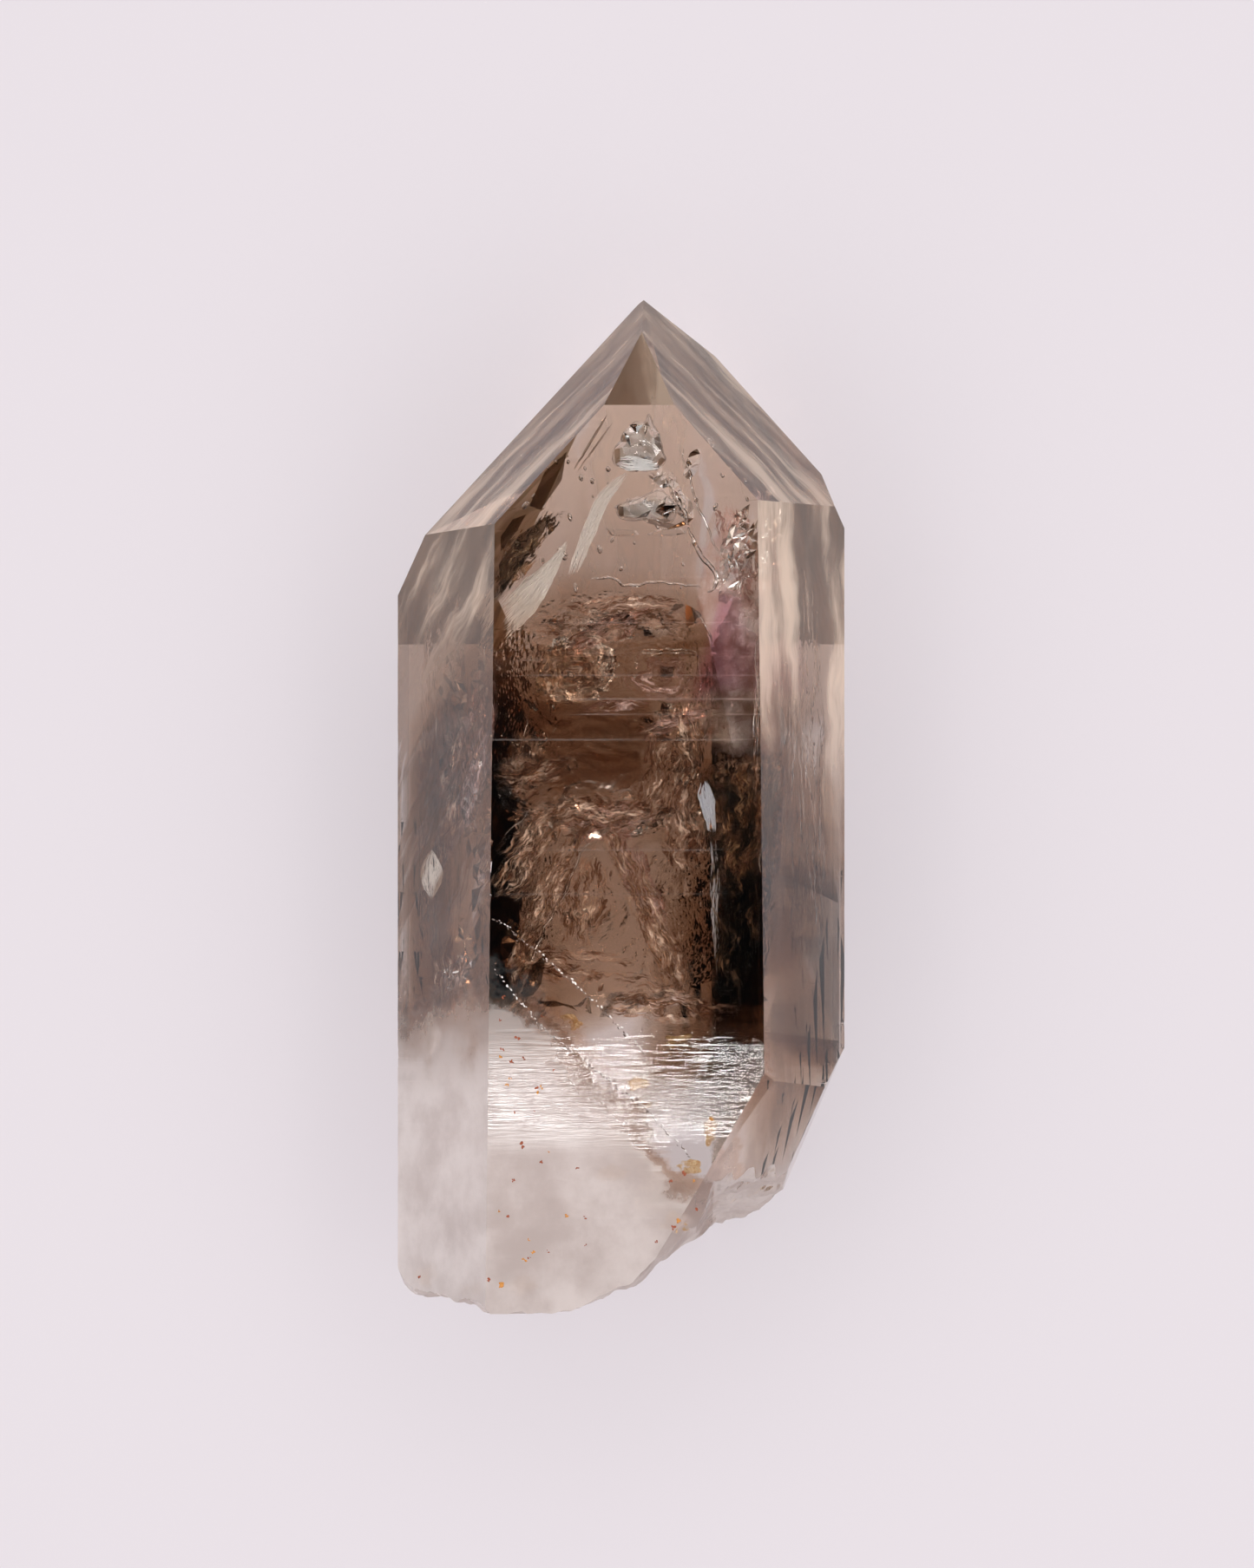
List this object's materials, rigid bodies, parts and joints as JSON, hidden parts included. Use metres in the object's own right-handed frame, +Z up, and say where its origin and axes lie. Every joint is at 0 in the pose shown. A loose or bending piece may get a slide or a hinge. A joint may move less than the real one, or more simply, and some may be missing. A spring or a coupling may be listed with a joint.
{
  "type": "enhydro smoky quartz crystal",
  "caption": "Natural six-sided smoky quartz point lying on a prism face, with a faceted tip at one end, a broken milky base and water-filled hollows inside.",
  "frame": {"origin": "on the surface that the crystal rests on, under the middle of its box", "axes": "+Z up, +Y along the crystal's long axis towards its pointed end, +X to the right in the picture, which looks straight down"},
  "size_m": [0.0266, 0.06, 0.0228],
  "materials": {
    "smoky_quartz": "clear smoky brown, glossy on the natural faces, milky and rough on the broken base",
    "inclusions": "water-filled hollows and healed cracks seen through the quartz",
    "iron_stain": "dull rust-red and ochre specks"
  },
  "bodies": {
    "root": {"quartz_crystal": "smoky_quartz"}
  },
  "joints": []
}
